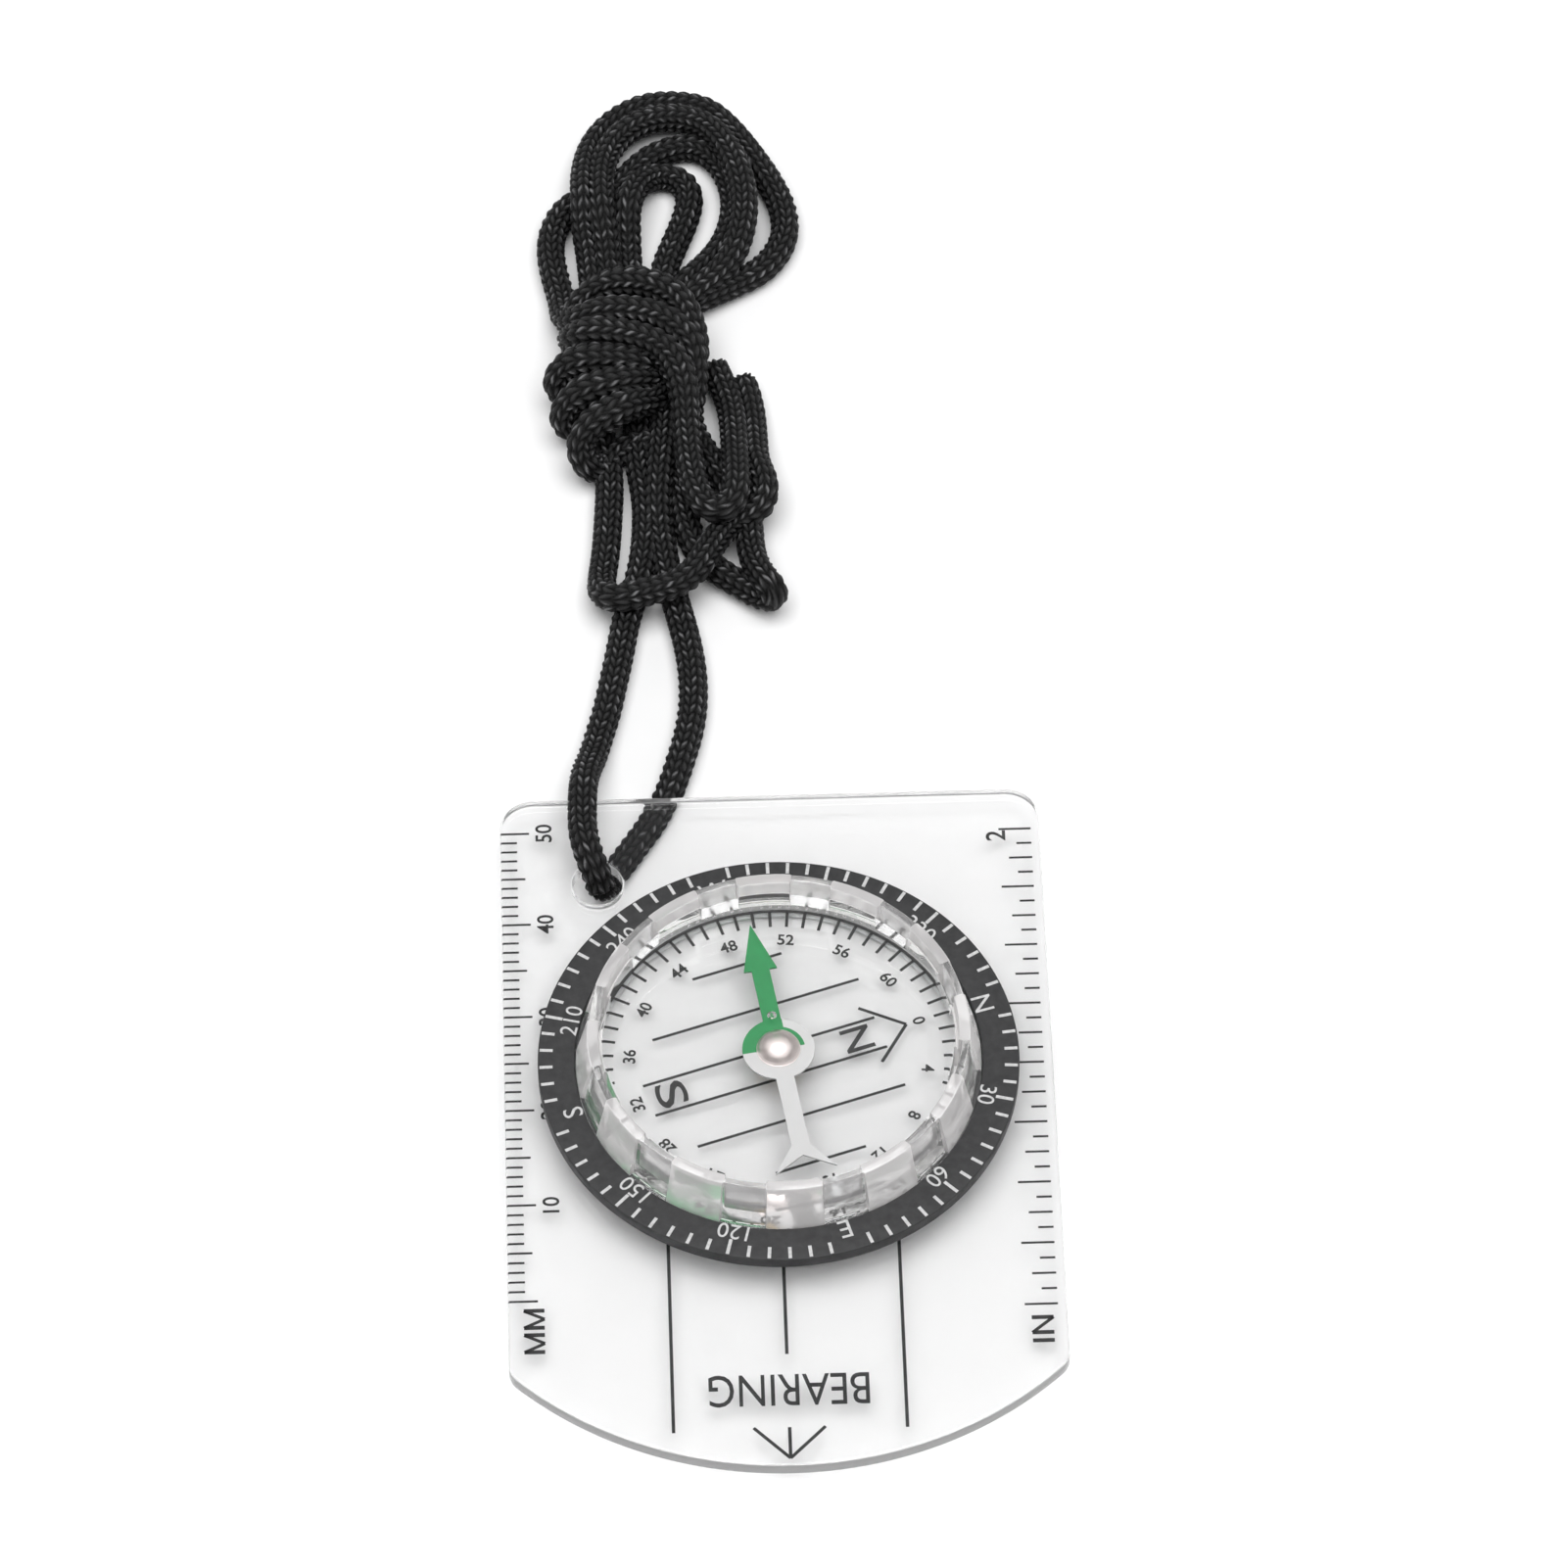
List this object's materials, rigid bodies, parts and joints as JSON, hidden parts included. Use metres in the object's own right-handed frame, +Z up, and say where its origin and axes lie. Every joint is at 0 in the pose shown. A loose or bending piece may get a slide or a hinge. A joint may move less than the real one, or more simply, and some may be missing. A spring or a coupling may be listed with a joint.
{
  "type": "baseplate compass",
  "caption": "Clear baseplate compass with a turning black degree ring, liquid capsule, pivoted needle and a knotted braided lanyard.",
  "frame": {"origin": "on the surface the capsule stands on, below the middle of the clear plate", "axes": "+Z up, +Y along the plate away from its curved direction-of-travel end, +X to the right edge with the inch scale"},
  "size_m": [0.0486, 0.1545, 0.009],
  "materials": {
    "clear_plastic": "clear polished acrylic",
    "dial_black": "black moulded plastic with fine grain",
    "steel": "polished steel",
    "brass": "turned brass",
    "cap_metal": "polished dome, slightly pink",
    "needle_paint": "satin green and white paint",
    "seal_rubber": "smooth milky silicone rubber",
    "white_plastic": "smooth moulded plastic",
    "jewel": "polished glass bearing",
    "print_black": "black printing ink",
    "print_white": "white printing ink",
    "cord": "black braided polyester cord"
  },
  "bodies": {
    "plate": {"baseplate": "clear_plastic", "friction_washer": "white_plastic", "lanyard_front_strand": "cord", "lanyard_rear_strand": "cord", "lanyard_hank": "cord", "lanyard_joint_knot": "cord", "lanyard_left_tail": "cord", "lanyard_right_tail": "cord"},
    "dial": {"dial_ring": "dial_black", "retaining_ring": "white_plastic", "capsule_housing": "clear_plastic", "capsule_lens": "clear_plastic", "capsule_floor": "clear_plastic", "floor_seal": "seal_rubber", "fill_plug": "seal_rubber", "pivot_seat": "brass", "pivot_pin": "steel"},
    "needle": {"needle_blade": "needle_paint", "needle_hub": "brass", "jewel_bearing": "jewel", "hub_cap": "cap_metal"}
  },
  "joints": [
    {"name": "dial_turn", "type": "hinge", "parent": "plate", "child": "dial", "pos_m": [0, 0.00575, 0.00395], "axis": [0, 0, 1], "continuous": true},
    {"name": "needle_spin", "type": "hinge", "parent": "dial", "child": "needle", "pos_m": [0, 0.00575, 0.00525], "axis": [0, 0, 1], "continuous": true}
  ]
}
